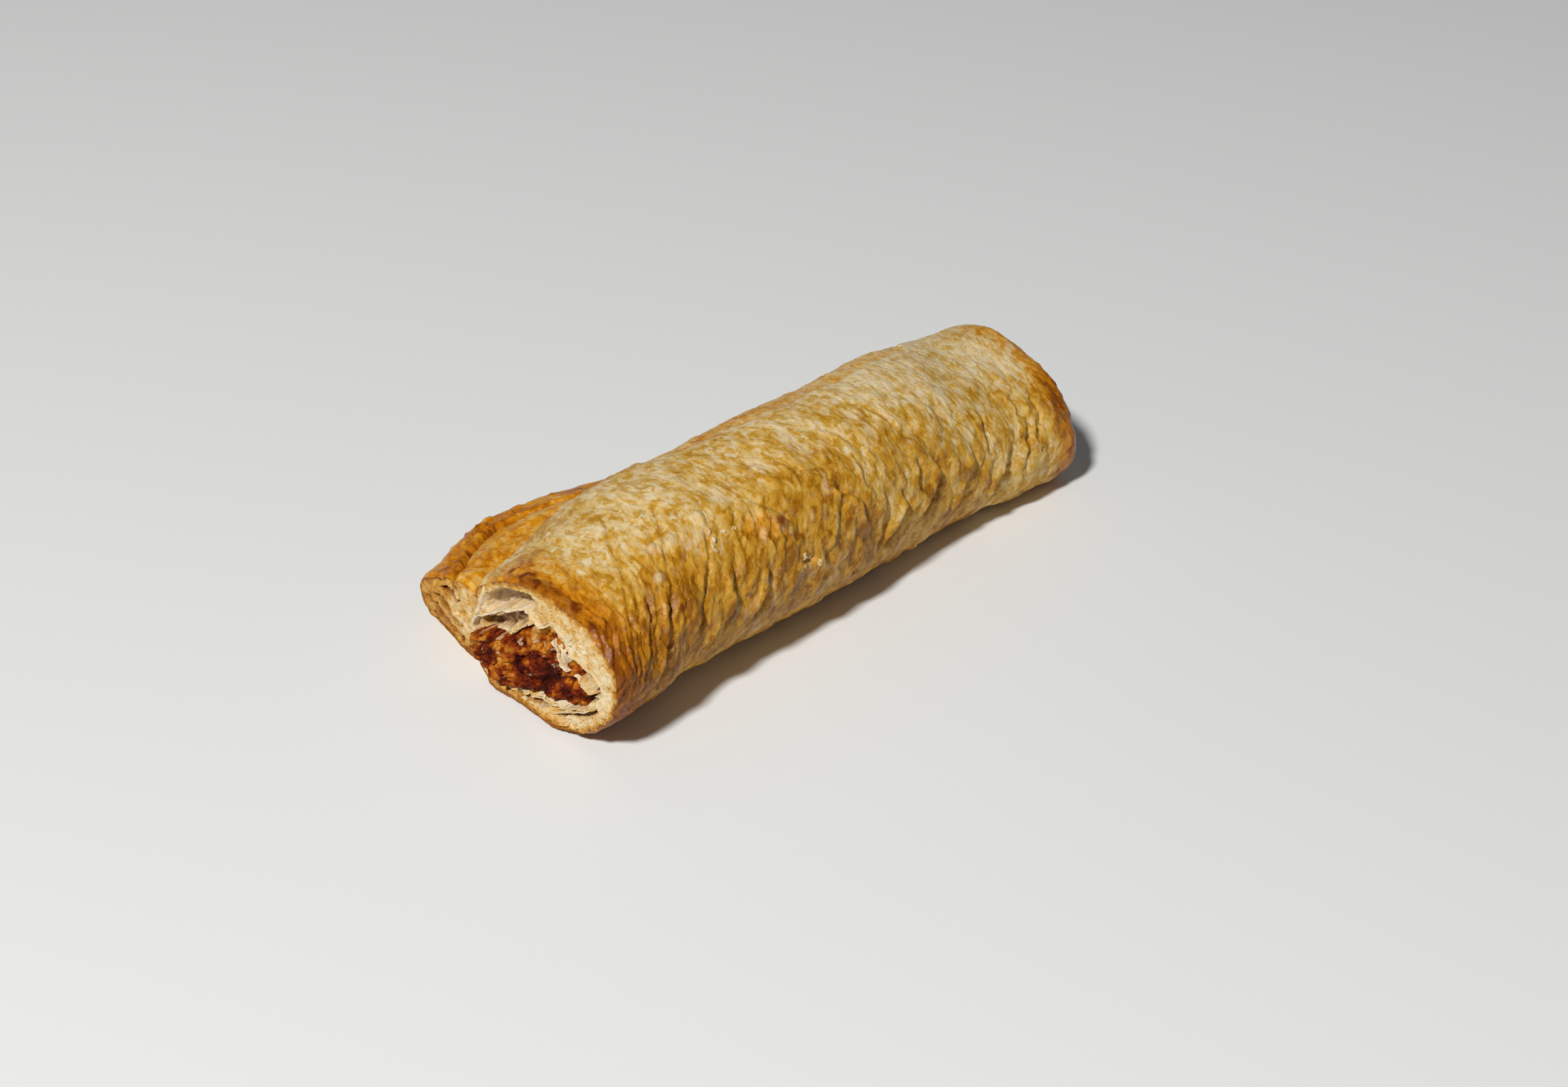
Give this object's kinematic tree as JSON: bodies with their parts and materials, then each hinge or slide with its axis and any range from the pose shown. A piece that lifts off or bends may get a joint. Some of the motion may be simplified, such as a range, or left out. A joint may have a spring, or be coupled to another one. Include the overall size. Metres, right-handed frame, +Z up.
{
  "type": "sausage roll",
  "caption": "Long baked pastry roll with a crimped flap along one side and a browned meat filling that shows at both ends.",
  "frame": {"origin": "on the table plane, under the middle of the roll's length and of the flat strip that it rests on", "axes": "+X along the roll from the cut end that the picture shows to the far end, +Y to the side with the flap, +Z up"},
  "size_m": [0.1744, 0.0877, 0.0448],
  "materials": {
    "baked_pastry": null,
    "meat_filling": null
  },
  "bodies": {
    "root": {"pastry": "baked_pastry", "filling": "meat_filling"}
  },
  "joints": []
}
